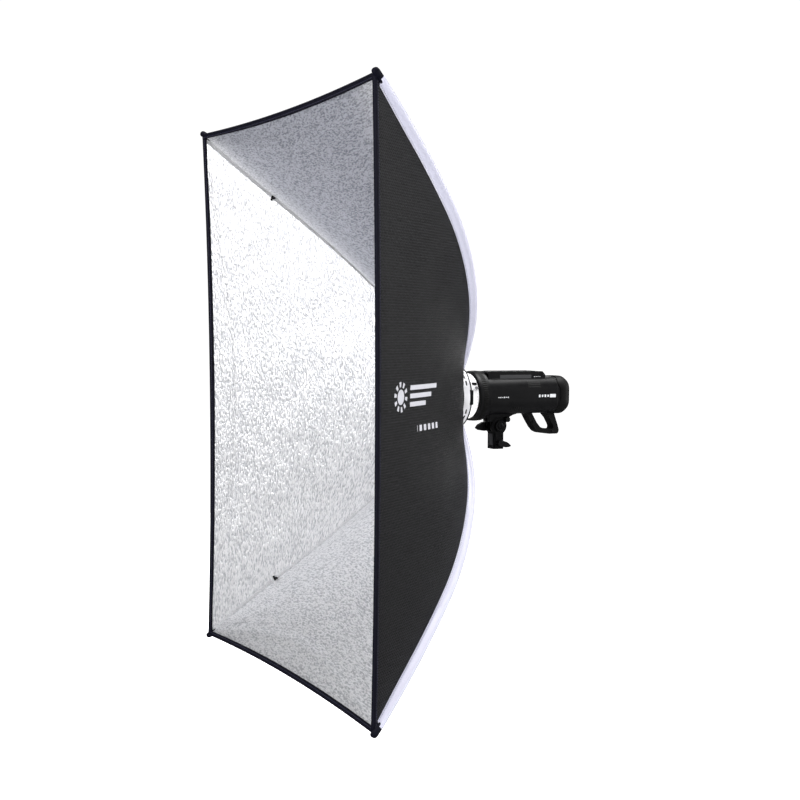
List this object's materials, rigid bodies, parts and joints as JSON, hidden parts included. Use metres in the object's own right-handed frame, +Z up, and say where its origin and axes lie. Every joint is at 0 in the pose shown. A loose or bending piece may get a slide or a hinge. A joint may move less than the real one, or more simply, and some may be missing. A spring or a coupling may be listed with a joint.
{
  "type": "softbox with flash head",
  "caption": "Rectangular open-front softbox with four bowed fold-forward rods on a rotating speed ring, on a battery flash head with a tilting stand bracket.",
  "frame": {"origin": "centre of the stand socket's mouth", "axes": "+Z up, out of the top of the stand; -Y is the way the softbox faces, along the optical axis; +X is to the right seen from behind the head"},
  "size_m": [0.9142, 0.7369, 1.2156],
  "materials": {
    "outer_fabric": "matte",
    "silver_lining": "metallic satin",
    "sleeve_webbing": "satin",
    "rod_steel": "brushed",
    "ring_alloy": "satin painted",
    "white_paint": "gloss",
    "black_plastic": "satin",
    "grip_rubber": "matte",
    "dark_metal": "satin",
    "bright_metal": "bright",
    "signal_red": "gloss",
    "screen": "gloss",
    "clear_glass": "clear",
    "lamp_yellow": "gloss",
    "board_green": "satin",
    "capacitor_blue": "gloss"
  },
  "bodies": {
    "stand": {"stand_block": "dark_metal", "tilt_bolt": "dark_metal"},
    "clamp_screw": {"clamp_screw": "black_plastic"},
    "tilt_lever": {"tilt_lever": "black_plastic"},
    "head": {"yoke": "dark_metal", "main_housing": "black_plastic", "front_collar": "black_plastic", "rear_cover": "black_plastic", "handle": "grip_rubber", "display_window": "screen", "flash_tube": "clear_glass", "modelling_lamp": "lamp_yellow", "glass_cover": "clear_glass", "main_board": "board_green", "capacitors": "capacitor_blue", "fan_frame": "black_plastic", "mount_collar": "white_paint", "retaining_ring": "bright_metal"},
    "umbrella_screw": {"umbrella_screw": "black_plastic"},
    "bayonet_release": {"bayonet_release": "black_plastic"},
    "battery": {"battery_pack": "black_plastic"},
    "battery_latch": {"battery_latch": "grip_rubber"},
    "control_dial": {"control_dial": "grip_rubber"},
    "set_button": {"set_button": "grip_rubber"},
    "test_button": {"test_button": "signal_red"},
    "power_button": {"power_button": "grip_rubber"},
    "fan": {"fan_rotor": "black_plastic"},
    "rotation_lock": {"rotation_lock": "bright_metal"},
    "ring": {"ring_plate": "ring_alloy", "hinge_pins": "bright_metal", "fold_spring": "bright_metal"},
    "fold_lever": {"fold_lever": "black_plastic"},
    "rod_near_top": {"knuckle_near_top": "dark_metal", "rod_near_top": "rod_steel", "rod_cap_near_top": "black_plastic", "sleeve_near_top": "sleeve_webbing", "outer_near_top": "outer_fabric", "lining_near_top": "silver_lining", "hook_near_top": "black_plastic"},
    "rod_far_top": {"knuckle_far_top": "dark_metal", "rod_far_top": "rod_steel", "rod_cap_far_top": "black_plastic", "sleeve_far_top": "sleeve_webbing", "outer_far_top": "outer_fabric", "lining_far_top": "silver_lining", "hook_far_top": "black_plastic"},
    "rod_far_bottom": {"knuckle_far_bottom": "dark_metal", "rod_far_bottom": "rod_steel", "rod_cap_far_bottom": "black_plastic", "sleeve_far_bottom": "sleeve_webbing", "outer_far_bottom": "outer_fabric", "lining_far_bottom": "silver_lining", "hook_far_bottom": "black_plastic"},
    "rod_near_bottom": {"knuckle_near_bottom": "dark_metal", "rod_near_bottom": "rod_steel", "rod_cap_near_bottom": "black_plastic", "sleeve_near_bottom": "sleeve_webbing", "outer_near_bottom": "outer_fabric", "lining_near_bottom": "silver_lining", "hook_near_bottom": "black_plastic"}
  },
  "joints": [
    {"name": "head_tilt", "type": "hinge", "parent": "stand", "child": "head", "pos_m": [0, 0, 0.054], "axis": [1, 0, 0], "range_deg": [-60, 35]},
    {"name": "tilt_lever_turn", "type": "hinge", "parent": "stand", "child": "tilt_lever", "pos_m": [0, 0, 0.054], "axis": [1, 0, 0], "range_deg": [0, 60]},
    {"name": "clamp_screw_turn", "type": "hinge", "parent": "stand", "child": "clamp_screw", "pos_m": [0, 0, 0.014], "axis": [1, 0, 0], "range_deg": [-135, 40]},
    {"name": "umbrella_screw_turn", "type": "hinge", "parent": "head", "child": "umbrella_screw", "pos_m": [0, 0.019, 0.0685], "axis": [1, 0, 0], "range_deg": [-180, 180]},
    {"name": "bayonet_release_slide", "type": "slide", "parent": "head", "child": "bayonet_release", "axis": [0, 1, 0], "range_m": [0, 0.005], "stiffness_N_per_m": 150, "springref_m": -0.004},
    {"name": "battery_lift", "type": "slide", "parent": "head", "child": "battery", "axis": [0, 0, 1], "range_m": [0, 0.03]},
    {"name": "battery_latch_press", "type": "slide", "parent": "battery", "child": "battery_latch", "axis": [0, -1, 0], "range_m": [0, 0.002], "stiffness_N_per_m": 300, "springref_m": -0.002},
    {"name": "control_dial_turn", "type": "hinge", "parent": "head", "child": "control_dial", "pos_m": [0, 0.182, 0.11], "axis": [0, 1, 0], "continuous": true},
    {"name": "set_button_press", "type": "slide", "parent": "head", "child": "set_button", "axis": [0, -1, 0], "range_m": [0, 0.0018], "stiffness_N_per_m": 300, "springref_m": -0.002},
    {"name": "test_button_press", "type": "slide", "parent": "head", "child": "test_button", "axis": [0, -1, 0], "range_m": [0, 0.0018], "stiffness_N_per_m": 300, "springref_m": -0.002},
    {"name": "power_button_press", "type": "slide", "parent": "head", "child": "power_button", "axis": [0, -1, 0], "range_m": [0, 0.0018], "stiffness_N_per_m": 300, "springref_m": -0.002},
    {"name": "fan_spin", "type": "hinge", "parent": "head", "child": "fan", "pos_m": [0, 0.128, 0.124], "axis": [0, 1, 0], "continuous": true},
    {"name": "rotation_lock_turn", "type": "hinge", "parent": "head", "child": "rotation_lock", "pos_m": [0.04886, -0.0855, 0.14178], "axis": [0.9397, 0, 0.342], "range_deg": [-180, 180]},
    {"name": "softbox_turn", "type": "hinge", "parent": "head", "child": "ring", "pos_m": [0, -0.118, 0.124], "axis": [0, 1, 0], "continuous": true},
    {"name": "fold_lever_press", "type": "slide", "parent": "ring", "child": "fold_lever", "axis": [-1, 0, 0], "range_m": [0, 0.004], "stiffness_N_per_m": 300, "springref_m": -0.003, "deforming": ["fold_spring"]},
    {"name": "fold_near_top", "type": "hinge", "parent": "ring", "child": "rod_near_top", "pos_m": [0.0348, -0.1215, 0.1704], "axis": [0.8, 0, -0.6], "range_deg": [0, 50], "deforming": ["outer_near_top", "lining_near_top"]},
    {"name": "fold_far_top", "type": "hinge", "parent": "ring", "child": "rod_far_top", "pos_m": [-0.0348, -0.1215, 0.1704], "axis": [0.8, 0, 0.6], "range_deg": [0, 50], "deforming": ["outer_far_top", "lining_far_top"]},
    {"name": "fold_far_bottom", "type": "hinge", "parent": "ring", "child": "rod_far_bottom", "pos_m": [-0.0348, -0.1215, 0.0776], "axis": [-0.8, 0, 0.6], "range_deg": [0, 50], "deforming": ["outer_far_bottom", "lining_far_bottom"]},
    {"name": "fold_near_bottom", "type": "hinge", "parent": "ring", "child": "rod_near_bottom", "pos_m": [0.0348, -0.1215, 0.0776], "axis": [-0.8, 0, -0.6], "range_deg": [0, 50], "deforming": ["outer_near_bottom", "lining_near_bottom"]}
  ],
  "couplings": [
    {"joint": "fold_far_top", "follows": "fold_near_top", "ratio": 1},
    {"joint": "fold_far_bottom", "follows": "fold_near_top", "ratio": 1},
    {"joint": "fold_near_bottom", "follows": "fold_near_top", "ratio": 1}
  ]
}
